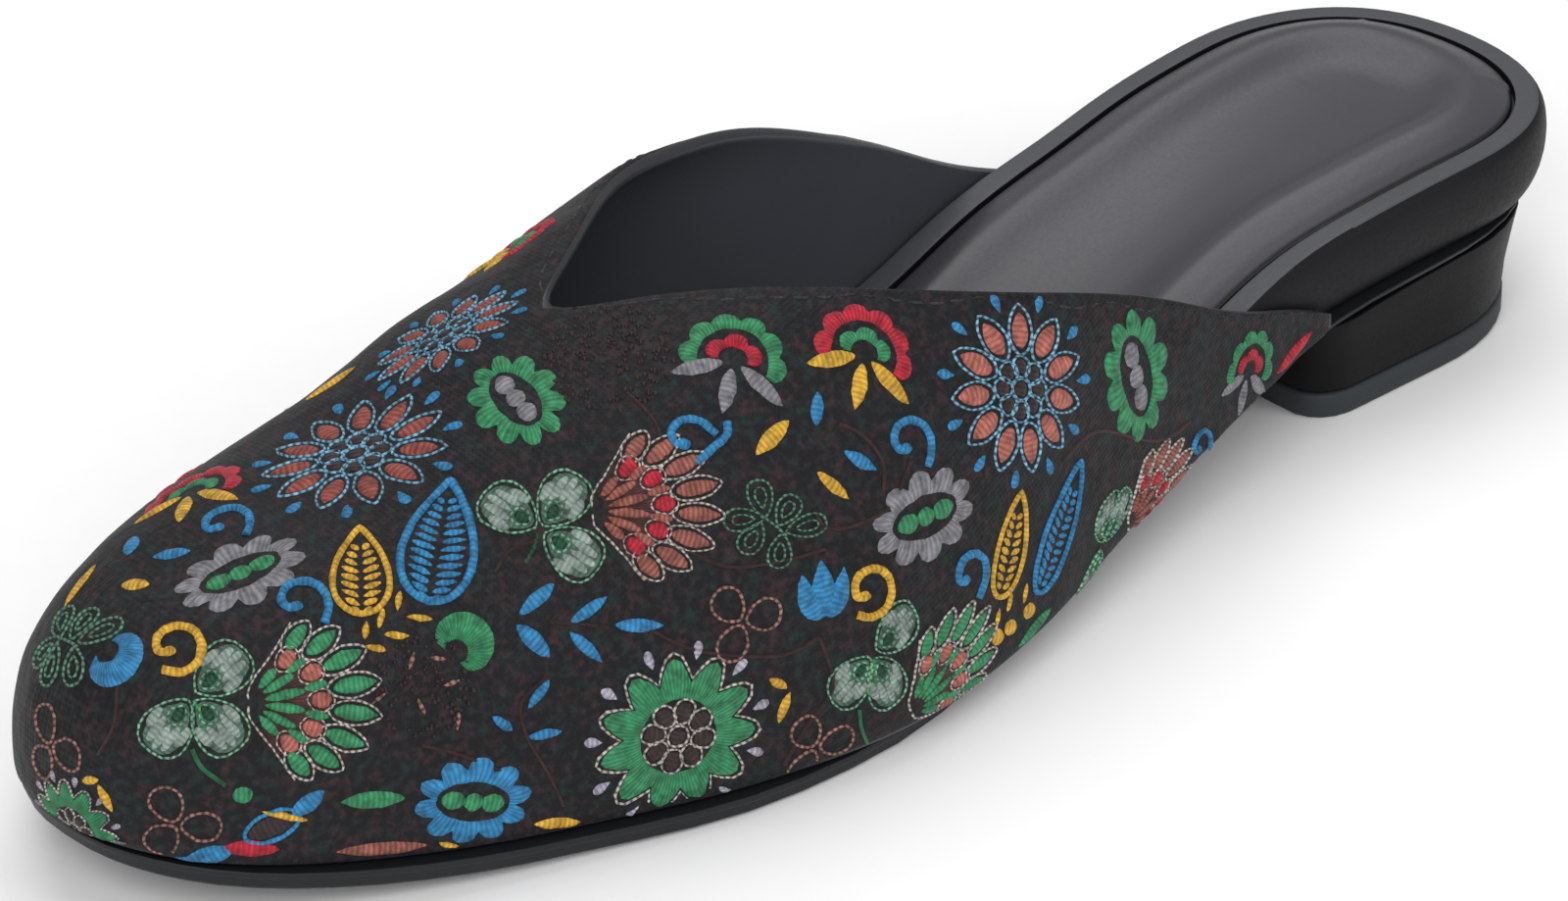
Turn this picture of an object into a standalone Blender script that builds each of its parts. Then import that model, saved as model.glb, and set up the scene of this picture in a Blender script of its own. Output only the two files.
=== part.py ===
"""House slipper for the left foot: an embroidered backless upper on a low block heel.

Toe along +X, the wearer's left along +Y, +Z up. Tables are in millimetres, the model in metres.
A station is the distance along the shoe from the back of the heel.
"""

import math
from collections import namedtuple

import bmesh
import bpy
from mathutils import Vector

MM = 0.001

# Sizes of the whole shoe
SHOE_LENGTH = 251.5
GAP = 0.3
LATERAL = 1
MEDIAL = -1

# Closing curves of the plan at the heel and the toe
HEEL_ROUND = 30.0
HEEL_FULLNESS = 2.3
TOE_ROUND = 52.0
TOE_FULLNESS = 2.45
FOOT_LINE_BACK = 28.0
FOOT_LINE_FRONT = 218.0
RING_STEPS = 46

# Upper
WALL = 2.2
TAIL_WALL = 1.2
TAIL_SKIVE = 28.0
TAIL_STATION = 55.0
THROAT_STATION = 174.0
TOE_CREST_STATION = 232.0
CREST_SIDE = 1.6
FAN_POWER = 2.2
SIDE_COLUMNS = 16
TOE_COLUMNS = 20
ROWS = 12
ROW_CROWDING = 0.09

# Midsole rim and the recess that holds the insole
RIM_BAND = 4.6
RECESS_DEPTH = 1.6

# Heel block and its tip
TIP_THICKNESS = 4.0
HEEL_BACK_ROUND = 25.0
HEEL_CORNER_ROUND = 7.0
HEEL_PLAN_FULLNESS = 2.2
HEEL_CENTRE = -0.6
HEEL_STEPS = 22

# The last, a row per section. "feather" is the height of the upper's lower edge, "ridge" the height of
# the instep crest, "bed" how thick the midsole stands over the feather line, "sole" the outsole's
# thickness and "sole_outset" how far the outsole stands out of the plan.
Section = namedtuple("Section", "station centre breadth feather ridge bed sole sole_outset")
LAST = (
    Section(0.0, -0.3, 56.0, 20.5, 90.0, 12.2, 1.4, -3.0),
    Section(30.0, -0.3, 56.0, 20.2, 84.0, 12.3, 1.4, -1.1),
    Section(55.0, -0.2, 55.8, 17.9, 78.0, 12.1, 1.5, -1.5),
    Section(75.0, 0.7, 61.0, 14.1, 73.8, 11.4, 1.8, -3.4),
    Section(100.0, 4.2, 63.6, 8.7, 67.6, 9.5, 2.0, -4.2),
    Section(125.0, 5.4, 75.6, 4.8, 64.4, 7.0, 2.4, -4.0),
    Section(150.0, 4.6, 84.6, 3.5, 61.8, 5.2, 3.2, -2.6),
    Section(175.0, 2.4, 81.8, 3.5, 56.6, 4.2, 3.2, 0.0),
    Section(200.0, -1.3, 73.4, 4.4, 45.8, 4.0, 3.2, 0.4),
    Section(225.0, -2.8, 62.0, 6.7, 40.4, 4.0, 3.2, 0.3),
    Section(240.0, -3.0, 57.0, 9.2, 36.6, 4.0, 3.1, -0.5),
    Section(251.5, -3.0, 53.6, 12.0, 31.5, 4.0, 2.9, -1.6),
)

# How far the midsole's widest line lies inside the plan on each side, and how much of its edge rounding
# is left, since it is cut square where the upper wraps it
BedInset = namedtuple("BedInset", "station lateral medial rounding")
BED_INSET = (
    BedInset(0.0, -1.9, -1.7, 1.0),
    BedInset(14.0, -1.3, -0.8, 1.0),
    BedInset(30.0, -0.3, -0.5, 1.0),
    BedInset(50.0, 0.3, 0.2, 1.0),
    BedInset(60.0, 1.8, 1.7, 0.9),
    BedInset(72.0, 2.9, 2.7, 0.6),
    BedInset(90.0, 2.8, 2.7, 0.4),
    BedInset(110.0, 2.9, 2.8, 0.3),
    BedInset(251.5, 2.9, 2.9, 0.3),
)

# Topline of the upper: how far round the arch it lies, in degrees from the feather line
Topline = namedtuple("Topline", "station lateral medial")
TOPLINE = (
    Topline(55.0, 0.6, 0.6),
    Topline(76.0, 10.0, 9.5),
    Topline(99.0, 28.6, 29.0),
    Topline(122.0, 46.6, 50.0),
    Topline(142.0, 63.0, 63.8),
    Topline(156.0, 76.0, 76.5),
    Topline(174.0, 90.0, 90.0),
)

# How round the arch of the upper is on each side: 1 is an ellipse, less is fuller in the shoulder
Arch = namedtuple("Arch", "station lateral medial")
ARCH = (
    Arch(55.0, 0.77, 0.77),
    Arch(142.0, 0.77, 0.77),
    Arch(150.0, 0.77, 0.82),
    Arch(158.0, 0.77, 0.9),
    Arch(165.0, 0.77, 0.96),
    Arch(176.0, 0.77, 0.93),
    Arch(190.0, 0.77, 0.87),
    Arch(205.0, 0.77, 0.78),
    Arch(226.0, 0.74, 0.67),
    Arch(251.5, 0.64, 0.64),
)

# Side profiles, from the bottom up: share of the height and distance out of the plan
Profile = namedtuple("Profile", "share outset")
MIDSOLE_SIDE = (
    Profile(0.0, -2.6),
    Profile(0.1, -1.5),
    Profile(0.3, -0.5),
    Profile(0.55, 0.0),
    Profile(0.8, -0.1),
    Profile(0.94, -0.6),
    Profile(1.0, -1.5),
)
OUTSOLE_SIDE = (
    Profile(0.0, -1.0),
    Profile(0.2, -0.1),
    Profile(0.64, 0.0),
    Profile(0.72, 0.5),
    Profile(1.0, 0.5),
)

# The insole's pad: how far in from its edge, and how high over the rim
Pad = namedtuple("Pad", "inset height")
INSOLE_PAD = (
    Pad(0.0, -1.3),
    Pad(0.0, -0.6),
    Pad(0.7, 0.0),
    Pad(2.5, 0.5),
    Pad(6.0, 0.6),
    Pad(11.0, 0.1),
    Pad(16.0, -0.3),
)

# The heel block, a row per level from the tip to the seat
HeelLevel = namedtuple("HeelLevel", "share half_breadth back breast")
HEEL_LEVELS = (
    HeelLevel(0.0, 25.0, 4.6, 54.8),
    HeelLevel(0.35, 25.4, 4.2, 55.1),
    HeelLevel(0.75, 26.3, 3.4, 55.8),
    HeelLevel(1.0, 27.0, 2.9, 56.4),
)
TIP_LEVELS = (
    HeelLevel(0.0, 24.7, 4.9, 54.5),
    HeelLevel(0.15, 25.1, 4.5, 54.9),
    HeelLevel(0.9, 25.2, 4.4, 55.0),
    HeelLevel(1.0, 24.9, 4.7, 54.7),
)

# Colours of the materials, linear red, green and blue, with their roughness
Finish = namedtuple("Finish", "colour roughness")
FINISHES = {
    "upper": Finish((0.012, 0.011, 0.014), 0.75),
    "midsole": Finish((0.02, 0.02, 0.024), 0.7),
    "insole": Finish((0.08, 0.08, 0.086), 0.45),
    "outsole": Finish((0.022, 0.025, 0.029), 0.6),
    "heel": Finish((0.018, 0.02, 0.024), 0.55),
    "heel_tip": Finish((0.042, 0.048, 0.055), 0.6),
}


def curve(rows, column, station):
    """Smooth curve through one column of a table, read at a station or a share."""
    keys = [row[0] for row in rows]
    values = [getattr(row, column) for row in rows]
    slopes = [(values[i + 1] - values[i]) / (keys[i + 1] - keys[i]) for i in range(len(rows) - 1)]
    tangents = [slopes[0]]
    for i in range(1, len(slopes)):
        before = keys[i] - keys[i - 1]
        after = keys[i + 1] - keys[i]
        tangents.append((slopes[i - 1] * after + slopes[i] * before) / (before + after))
    tangents.append(slopes[-1])
    station = min(max(station, keys[0]), keys[-1])
    i = 0
    while i < len(slopes) - 1 and station > keys[i + 1]:
        i += 1
    span = keys[i + 1] - keys[i]
    t = (station - keys[i]) / span
    start = values[i] * (1 + 2 * t) * (1 - t) ** 2 + tangents[i] * span * t * (1 - t) ** 2
    end = values[i + 1] * t * t * (3 - 2 * t) + tangents[i + 1] * span * t * t * (t - 1)
    return start + end


def last(column, station):
    return curve(LAST, column, station)


def rounded(distance, length, fullness):
    """Share of the breadth left where an end closes; distance runs from the end inwards."""
    reach = min(max(1 - distance / length, 0.0), 1.0)
    return (1 - reach ** fullness) ** (1 / fullness)


def side_column(rows, station, side):
    return curve(rows, "lateral" if side == LATERAL else "medial", station)


def plan_edge(station, side):
    """Sideways place of the feather line."""
    closing = rounded(station, HEEL_ROUND, HEEL_FULLNESS)
    closing *= rounded(SHOE_LENGTH - station, TOE_ROUND, TOE_FULLNESS)
    return last("centre", station) + side * 0.5 * last("breadth", station) * closing


def ring_walk():
    """Stations and sides round the plan: up the lateral side to the toe, back down the medial side."""
    stations = [0.5 * SHOE_LENGTH * (1 - math.cos(math.pi * i / RING_STEPS)) for i in range(RING_STEPS + 1)]
    walk = [(station, LATERAL) for station in stations]
    return walk + [(station, MEDIAL) for station in reversed(stations[1:-1])]


def plan_point(station, side, outset):
    """A point of the plan moved out of it, or in towards the middle line when outset is negative."""
    edge = Vector((station, plan_edge(station, side)))
    foot = min(max(station, FOOT_LINE_BACK), FOOT_LINE_FRONT)
    outward = edge - Vector((foot, last("centre", foot)))
    return edge + outward.normalized() * outset


def plan_ring(outset_at, height_at):
    """A ring of points round the plan; outset and height are functions of station and side."""
    ring = []
    for station, side in ring_walk():
        point = plan_point(station, side, outset_at(station, side))
        ring.append(Vector((point.x, point.y, height_at(point.x))))
    return ring


def solid_from_rings(name, rings):
    """A closed body from rings stacked from its underside to its top."""
    mesh = bmesh.new()
    loops = [[mesh.verts.new(point * MM) for point in ring] for ring in rings]
    count = len(rings[0])
    for lower, upper in zip(loops, loops[1:]):
        for i in range(count):
            j = (i + 1) % count
            mesh.faces.new((lower[i], lower[j], upper[j], upper[i]))
    for loop in (loops[0], loops[-1]):
        for i in range(count // 2):
            strip = (loop[i], loop[i + 1], loop[count - i - 1], loop[-i % count])
            mesh.faces.new(list(dict.fromkeys(strip)))
    return finished(name, mesh)


def finished(name, mesh):
    """Close up a mesh, face it outwards and give it its object and material."""
    bmesh.ops.remove_doubles(mesh, verts=mesh.verts, dist=0.002 * MM)
    bmesh.ops.recalc_face_normals(mesh, faces=mesh.faces)
    data = bpy.data.meshes.new(name)
    mesh.to_mesh(data)
    mesh.free()
    part = bpy.data.objects.new(name, data)
    bpy.context.scene.collection.objects.link(part)
    finish = FINISHES[name]
    material = bpy.data.materials.new(name)
    material.use_nodes = True
    shader = material.node_tree.nodes["Principled BSDF"]
    shader.inputs["Base Color"].default_value = (*finish.colour, 1.0)
    shader.inputs["Roughness"].default_value = finish.roughness
    data.materials.append(material)
    return part


def column_stations(place):
    """Feather and crest stations of a column; place runs 0 at the tail, 1 at the throat, 2 at the toe."""
    if place <= 1:
        station = TAIL_STATION + (THROAT_STATION - TAIL_STATION) * place
        return station, station
    reach = place - 1
    feather_station = THROAT_STATION + (SHOE_LENGTH - THROAT_STATION) * math.sin(0.5 * math.pi * reach)
    crest = THROAT_STATION + (TOE_CREST_STATION - THROAT_STATION) * (1 - (1 - reach) ** FAN_POWER)
    return feather_station, crest


def arch_point(place, side, angle):
    """A point on the outside of the upper; angle runs from the feather line to the instep crest."""
    station, crest_station = column_stations(place)
    foot = Vector((station, plan_edge(station, side), last("feather", station)))
    crest_height = last("ridge", crest_station)
    fall = last("ridge", crest_station + 0.5) - last("ridge", crest_station - 0.5)
    roundness = side_column(ARCH, station, side)
    inward = 1 - max(math.cos(angle), 0.0) ** roundness
    x = foot.x + (crest_station - foot.x) * inward
    y = foot.y + (CREST_SIDE - foot.y) * inward
    roof = crest_height + fall * (x - crest_station)
    return Vector((x, y, foot.z + (roof - foot.z) * math.sin(angle) ** roundness))


def arch_outward(place, side, angle):
    """The direction square to the outside of the upper."""
    step = 0.004
    crest_angle = 0.5 * math.pi
    if angle > crest_angle - 1e-6:
        crest = column_stations(place)[1]
        fall = last("ridge", crest + 0.5) - last("ridge", crest - 0.5)
        return Vector((-fall, 0, 1)).normalized()
    before = max(place - step, 0.0)
    after = min(place + step, 2.0)
    low = max(angle - step, 0.0)
    along = arch_point(after, side, angle) - arch_point(before, side, angle)
    rise = arch_point(place, side, min(angle + step, crest_angle)) - arch_point(place, side, low)
    outward = along.cross(rise) * -side
    if angle == 0:
        outward.z = 0.0
    if place == 2:
        outward.y = 0.0
    return outward.normalized()


def topline_angle(place, side):
    if place >= 1:
        return 0.5 * math.pi
    return math.radians(side_column(TOPLINE, column_stations(place)[0], side))


def wall_at(station):
    """Thickness of the upper, skived thin towards its tails."""
    reach = min((station - TAIL_STATION) / TAIL_SKIVE, 1.0)
    return TAIL_WALL + (WALL - TAIL_WALL) * reach


def upper():
    """The hollow shell: an outside and an inside grid joined along every edge."""
    places = [i / SIDE_COLUMNS for i in range(SIDE_COLUMNS)]
    places += [1 + i / TOE_COLUMNS for i in range(TOE_COLUMNS + 1)]
    mesh = bmesh.new()
    for side in (LATERAL, MEDIAL):
        outside = []
        inside = []
        for place in places:
            top = topline_angle(place, side)
            wall = wall_at(column_stations(place)[0])
            outer_column = []
            inner_column = []
            for row in range(ROWS + 1):
                share = row / ROWS
                angle = top * (share - ROW_CROWDING * math.sin(2 * math.pi * share))
                point = arch_point(place, side, angle)
                outer_column.append(mesh.verts.new(point * MM))
                inner_column.append(mesh.verts.new((point - arch_outward(place, side, angle) * wall) * MM))
            outside.append(outer_column)
            inside.append(inner_column)
        for i in range(len(places) - 1):
            for grid in (outside, inside):
                for row in range(ROWS):
                    mesh.faces.new((grid[i][row], grid[i + 1][row], grid[i + 1][row + 1], grid[i][row + 1]))
            mesh.faces.new((outside[i][0], outside[i + 1][0], inside[i + 1][0], inside[i][0]))
            if places[i] < 1:
                mesh.faces.new((outside[i][ROWS], outside[i + 1][ROWS], inside[i + 1][ROWS], inside[i][ROWS]))
        for row in range(ROWS):
            mesh.faces.new((outside[0][row], outside[0][row + 1], inside[0][row + 1], inside[0][row]))
    return finished("upper", mesh)


def bed_top(station):
    return last("feather", station) + last("bed", station)


def bed_outset(station, side):
    return -side_column(BED_INSET, station, side)


def bed_rounding(station):
    return curve(BED_INSET, "rounding", station)


def midsole():
    """The wrapped footbed with its rounded side, rim band and recess."""
    rings = []
    for level in MIDSOLE_SIDE:
        rings.append(plan_ring(
            lambda station, side: bed_outset(station, side) + level.outset * bed_rounding(station),
            lambda station: last("feather", station) + level.share * last("bed", station)))
    for depth in (0.0, RECESS_DEPTH):
        rings.append(plan_ring(
            lambda station, side: bed_outset(station, side) - RIM_BAND,
            lambda station: bed_top(station) - depth))
    return solid_from_rings("midsole", rings)


def insole():
    """The padded sock in the recess, a little raised near its edge and dished in the middle."""
    rings = []
    for pad in INSOLE_PAD:
        rings.append(plan_ring(
            lambda station, side: bed_outset(station, side) - RIM_BAND - GAP - pad.inset,
            lambda station: bed_top(station) + pad.height))
    return solid_from_rings("insole", rings)


def sole_top(station):
    return last("feather", station) - GAP


def sole_underside(station):
    return max(sole_top(station) - last("sole", station), 0.0)


def outsole():
    """The thin sole with its arch, toe spring and the lip along its upper edge."""
    rings = []
    for level in OUTSOLE_SIDE:
        rings.append(plan_ring(
            lambda station, side: last("sole_outset", station) + level.outset,
            lambda station: sole_underside(station)
            + level.share * (sole_top(station) - sole_underside(station))))
    return solid_from_rings("outsole", rings)


def heel_ring(level, height_at):
    """A ring round the heel block at one level, straight across its breast."""
    stations = [0.5 * (1 - math.cos(math.pi * i / HEEL_STEPS)) for i in range(HEEL_STEPS + 1)]
    walk = [(share, LATERAL) for share in stations]
    walk += [(share, MEDIAL) for share in reversed(stations[1:-1])]
    ring = []
    for share, side in walk:
        station = level.back + (level.breast - level.back) * share
        breadth = level.half_breadth * rounded(station - level.back, HEEL_BACK_ROUND, HEEL_PLAN_FULLNESS)
        corner = rounded(level.breast - station, HEEL_CORNER_ROUND, HEEL_PLAN_FULLNESS)
        breadth -= HEEL_CORNER_ROUND * (1 - corner)
        if share == 1:
            breadth = 0.0
        ring.append(Vector((station, HEEL_CENTRE + side * breadth, height_at(station))))
    return ring


def heel():
    """The block between the tip and the underside of the sole."""
    floor = TIP_THICKNESS + GAP
    rings = []
    for level in HEEL_LEVELS:
        rings.append(heel_ring(
            level,
            lambda station: floor + level.share * (sole_underside(station) - GAP - floor)))
    return solid_from_rings("heel", rings)


def heel_tip():
    """The flat top piece that the heel stands on."""
    return solid_from_rings(
        "heel_tip", [heel_ring(level, lambda station: level.share * TIP_THICKNESS) for level in TIP_LEVELS])


def settle(parts):
    """Put the origin under the middle of the shoe, on the floor."""
    points = [vertex.co for part in parts for vertex in part.data.vertices]
    low = Vector([min(point[axis] for point in points) for axis in range(3)])
    high = Vector([max(point[axis] for point in points) for axis in range(3)])
    middle = Vector((0.5 * (low.x + high.x), 0.5 * (low.y + high.y), low.z))
    for part in parts:
        for vertex in part.data.vertices:
            vertex.co = vertex.co - middle


def main():
    for old in list(bpy.data.objects):
        bpy.data.objects.remove(old, do_unlink=True)
    settle([upper(), midsole(), insole(), outsole(), heel(), heel_tip()])


main()
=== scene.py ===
"""House slipper for the left foot: the looks of a black brocade upper with sewn flowers, a padded insole
in a wrapped footbed, a thin rubber sole and a low block heel.

Toe along +X, the wearer's left along +Y, +Z up. Sizes are in millimetres, the scene in metres.
"""

import math
import random
from collections import namedtuple

import bmesh
import bpy
from mathutils import Matrix, Vector, noise
from mathutils.bvhtree import BVHTree
from mathutils.kdtree import KDTree


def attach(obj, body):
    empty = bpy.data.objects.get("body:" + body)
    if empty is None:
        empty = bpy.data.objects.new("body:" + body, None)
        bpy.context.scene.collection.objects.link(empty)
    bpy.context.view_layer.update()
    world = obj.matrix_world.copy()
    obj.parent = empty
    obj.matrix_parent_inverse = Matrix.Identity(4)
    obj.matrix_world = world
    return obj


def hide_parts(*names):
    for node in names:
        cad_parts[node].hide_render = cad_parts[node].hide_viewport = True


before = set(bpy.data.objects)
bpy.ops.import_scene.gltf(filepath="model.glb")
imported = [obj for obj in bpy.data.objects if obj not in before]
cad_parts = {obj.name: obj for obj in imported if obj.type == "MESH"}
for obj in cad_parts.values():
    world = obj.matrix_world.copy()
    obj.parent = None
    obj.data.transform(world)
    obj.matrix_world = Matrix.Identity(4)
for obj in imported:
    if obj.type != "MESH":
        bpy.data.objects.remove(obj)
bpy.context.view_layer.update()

MM = 0.001

# The picture and the camera that looks at the shoe as it was taken
PICTURE_WIDTH = 1600
PICTURE_HEIGHT = 919
CAMERA_TARGET = Vector((12.38, 2.71, 22.76)) * MM
CAMERA_AZIMUTH = math.radians(49.71)
CAMERA_ELEVATION = math.radians(30.58)
CAMERA_ROLL = math.radians(-1.86)
CAMERA_DISTANCE = 941.92 * MM
LENS = 162.9
SENSOR = 36.0

# The line inside the upper that its walls arch over, and how squarely a face of its two sheets looks along
# or against the way out from that line
CREST_SIDE = -2.15
AXIS_HEIGHT = 16.0
AXIS_TOE = 84.0
SHEET_FACING = 0.65

# The upper's materials in their order: brocade outside, lining inside, and the turned edge between them. The
# turned edge of the topline never looks further down than this
OUTSIDE = 0
INSIDE = 1
TURNED = 2
TOPLINE_FACING = -0.45

# The cloth swells a little between the rows of sewing, in slow waves and some quicker ones
SWELL_HEIGHT = 0.4
SWELL_SPACING = 14.0
SWELL_QUICKER = 0.45

# Edge seam of the topline
SEAM_INSET = 2.1
SEAM_STITCH = 2.3
SEAM_PITCH = 3.1
SEAM_WIDTH = 0.55
SEAM_HEIGHT = 0.16
SEAM_EVENING = 4
SEAM_ENDS = 4
SEAM_STRAY = 0.25

# The insole's padded roll along its edge and the dish inside it
ROLL_INSET = 7.0
ROLL_SPREAD = 4.2
ROLL_HEIGHT = 1.7
ROLL_START = 2.0
DISH_INSET = 22.0
DISH_DEPTH = 0.7

# How squarely a face looks up or down to count as the footbed's rim, the sock's top or a tread
RIM_FACING = 0.8
SOCK_FACING = 0.35
TREAD_FACING = 0.9

# Edges sharper than these angles are softened, or left unsmoothed
FOOTBED_BEVEL = 0.45
FOOTBED_SHARP = math.radians(38)
FOOTBED_CREASE = math.radians(50)
MOULDED_SHARP = math.radians(32)
MOULDED_CREASE = math.radians(40)
THREAD_CREASE = math.radians(75)

# How the flowers are laid on the cloth: lines walked out from a spot in even steps. A step that comes out
# shorter than the share kept has met the edge of the cloth
SPREAD_LINES = 48
SPREAD_STEP = 1.5
SPREAD_RINGS = 16
SPREAD_KEPT = 0.55

# Past the outline of the shoe, the nearest cloth is looked for at steps along the line of sight
SEARCH_STEP = 4.0
SEARCH_STEPS = 40

# How high thread stands, how far it sinks into the cloth, and how unevenly it lies. What would lie past the
# edge of the cloth is hidden inside it
SATIN_HEIGHT = 0.4
CORD_HEIGHT = 0.28
VINE_HEIGHT = 0.22
SINK = 0.14
HIDDEN = 0.7
WOBBLE = 0.16
WOBBLE_SPACING = 0.9
WOBBLE_APART = Vector((37.0, 0.0, 0.0))

# Section of a stitch, as shares of its half width and of its height
CROWN = ((-1.0, 0.0), (-0.64, 0.76), (0.0, 1.0), (0.64, 0.76), (1.0, 0.0))

# A smooth line takes so many steps from one given point to the next
FLOW_STEPS = 5

# A wave texture at this scale has ribs one unit apart
RIB_SCALE = 0.314

# Threads: colour, pitch of the stitches in mm, and how dark the gaps between them are painted, as painted
# shade in the grooves between stitches
Finish = namedtuple("Finish", "colour pitch gap", defaults=(0.7, 0.35))
THREADS = {
    "red": Finish("#b52236"),
    "green": Finish("#36885b"),
    "blue": Finish("#2f7fb1"),
    "gold": Finish("#d4a436"),
    "grey": Finish("#828187"),
    "sage": Finish("#8b9a92"),
    "fern": Finish("#1c4630", 0.7, 0.4),
    "moss": Finish("#4c6658"),
    "rose": Finish("#96594e", 0.7, 0.5),
    "plum": Finish("#4a2e2c", 0.7, 0.5),
    "salmon": Finish("#b4685b", 0.7, 0.4),
    "rust": Finish("#944b40", 0.7, 0.45),
    "brown": Finish("#362829", 0.7, 0.4),
    "lilac": Finish("#aaa4b4", 0.7, 0.4),
    "sky_chain": Finish("#7fb4cf", 0.9, 0.85),
    "ivory_chain": Finish("#c9c0b9", 0.9, 0.85),
    "mint_chain": Finish("#7fb796", 0.9, 0.85),
    "bark_chain": Finish("#9b6f66", 0.9, 0.85),
    "moss_chain": Finish("#5c8a72", 0.9, 0.85),
    "vine": Finish("#4a2f2f", 1.0, 0.6),
    "seam": Finish("#303034", 0.8, 0.2),
}


# Helpers


def linear(code):
    """A colour written as an sRGB hex value, in linear red, green, blue and alpha."""
    channels = [int(code[i:i + 2], 16) / 255 for i in (1, 3, 5)]
    return [c / 12.92 if c <= 0.04045 else ((c + 0.055) / 1.055) ** 2.4 for c in channels] + [1.0]


def shade(code, factor):
    """The same colour made lighter or darker."""
    return [channel * factor for channel in linear(code)[:3]] + [1.0]


def node(tree, kind, settings):
    """Add a shader node; a setting is a property, an input's value, or a socket to link to the input."""
    made = tree.nodes.new("ShaderNode" + kind)
    for name, value in settings.items():
        if isinstance(name, str) and name not in made.inputs:
            setattr(made, name, value)
        elif isinstance(value, bpy.types.NodeSocket):
            tree.links.new(value, made.inputs[name])
        else:
            made.inputs[name].default_value = value
    return made


def new_material(name):
    """An empty material and the tree to fill."""
    material = bpy.data.materials.new(name)
    material.use_nodes = True
    tree = material.node_tree
    tree.nodes.clear()
    tree.nodes.new("ShaderNodeOutputMaterial")
    return material, tree


def per_mm(size):
    """Scale of a pattern on Object coordinates, in metres, that repeats about every so many millimetres."""
    return 1 / (size * MM)


def select_only(piece):
    bpy.ops.object.select_all(action="DESELECT")
    piece.select_set(True)
    bpy.context.view_layer.objects.active = piece


def applied(piece, kind, **settings):
    """Add a modifier with its settings and apply it."""
    select_only(piece)
    modifier = piece.modifiers.new(kind.lower(), kind)
    for name, value in settings.items():
        setattr(modifier, name, value)
    bpy.ops.object.modifier_apply(modifier=modifier.name)


def subdivided(piece, levels):
    applied(piece, "SUBSURF", levels=levels, render_levels=levels)


def bevelled(piece, width, segments, sharp):
    """Soften the edges of a piece that are sharper than an angle."""
    applied(piece, "BEVEL", width=width * MM, segments=segments, limit_method="ANGLE", angle_limit=sharp)


def smoothed(piece, crease=math.pi):
    """Shade a piece smooth, but for edges sharper than the crease."""
    select_only(piece)
    if crease < math.pi:
        bpy.ops.object.shade_smooth_by_angle(angle=crease)
    else:
        bpy.ops.object.shade_smooth()


def copy_of(node_name, name, *materials):
    """A merged copy of a solid in its materials, in quads where its triangles pair up."""
    piece = bpy.data.objects.new(name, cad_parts[node_name].data.copy())
    bpy.context.scene.collection.objects.link(piece)
    piece.data.materials.clear()
    for material in materials:
        piece.data.materials.append(material)
    select_only(piece)
    bpy.ops.object.mode_set(mode="EDIT")
    bpy.ops.mesh.customdata_custom_splitnormals_clear()
    bpy.ops.mesh.select_all(action="SELECT")
    bpy.ops.mesh.remove_doubles(threshold=0.01 * MM)
    bpy.ops.mesh.tris_convert_to_quads(face_threshold=math.radians(60), shape_threshold=math.radians(60))
    bpy.ops.object.mode_set(mode="OBJECT")
    return piece


def placed(piece, slot, *nodes):
    """Let a finished piece ride on the shoe, and hide the solids it stands for. slot is not used."""
    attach(piece, "root")
    if nodes:
        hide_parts(*nodes)


# Materials


def place_on(tree, kind="Object"):
    """Where a point lies on its piece, in Object coordinates or in the piece's own flat layout."""
    return node(tree, "TexCoord", {}).outputs[kind]


def cloudy(tree, place, size, detail):
    """A soft random value, in clouds of about so many millimetres."""
    return node(tree, "TexNoise", {"Vector": place, "Scale": per_mm(size), "Detail": detail}).outputs["Fac"]


def ribbed(tree, place, scale, way, stray):
    """A value that rises and falls in ribs, which stray a little from straight."""
    return node(tree, "TexWave", {
        "Vector": place, "Scale": scale, "bands_direction": way,
        "Distortion": stray, "Detail": 1.0}).outputs["Fac"]


def ranged(tree, value, low, high, start=0.0, end=1.0):
    """A value between low and high, carried over to start and end."""
    return node(tree, "MapRange", {
        "Value": value, "From Min": low, "From Max": high, "To Min": start, "To Max": end}).outputs[0]


def mixed(tree, share, first, second):
    """A colour between two colours."""
    return node(tree, "Mix", {"data_type": "RGBA", 0: share, 6: first, 7: second}).outputs[2]


def added(tree, value, factor, base):
    """A relief laid over another one, so many times as high."""
    return node(tree, "Math", {"operation": "MULTIPLY_ADD", 0: value, 1: factor, 2: base}).outputs[0]


def bumped(tree, relief, depth):
    """The facing of a surface with a relief so many millimetres deep."""
    return node(tree, "Bump", {"Height": relief, "Strength": 1.0, "Distance": depth * MM}).outputs[0]


def finished(material, settings):
    """The material with its finished surface."""
    tree = material.node_tree
    surface = tree.nodes["Material Output"].inputs["Surface"]
    tree.links.new(node(tree, "BsdfPrincipled", settings).outputs[0], surface)
    return material


def hide_material(name, colour, roughness, grain, depth, mottle, shine, coat=0.0):
    """Coated leather, moulded rubber or plastic: a fine pebble of grain and a slow drift of tone."""
    material, tree = new_material(name)
    place = place_on(tree)
    tone = mixed(tree, cloudy(tree, place, mottle, 2.0), shade(colour, 0.86), shade(colour, 1.14))
    pebble = node(tree, "TexVoronoi", {"Vector": place, "Scale": per_mm(grain), "feature": "SMOOTH_F1"})
    fine = cloudy(tree, place, grain * 0.6, 3.0)
    relief = added(tree, fine, 0.6, pebble.outputs["Distance"])
    gloss = ranged(tree, fine, 0.3, 0.7, roughness - 0.06, roughness + 0.08)
    return finished(material, {
        "Base Color": tone, "Roughness": gloss, "Normal": bumped(tree, relief, depth),
        "Coat Weight": coat, "Coat Roughness": 0.35, "Specular IOR Level": shine})


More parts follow.
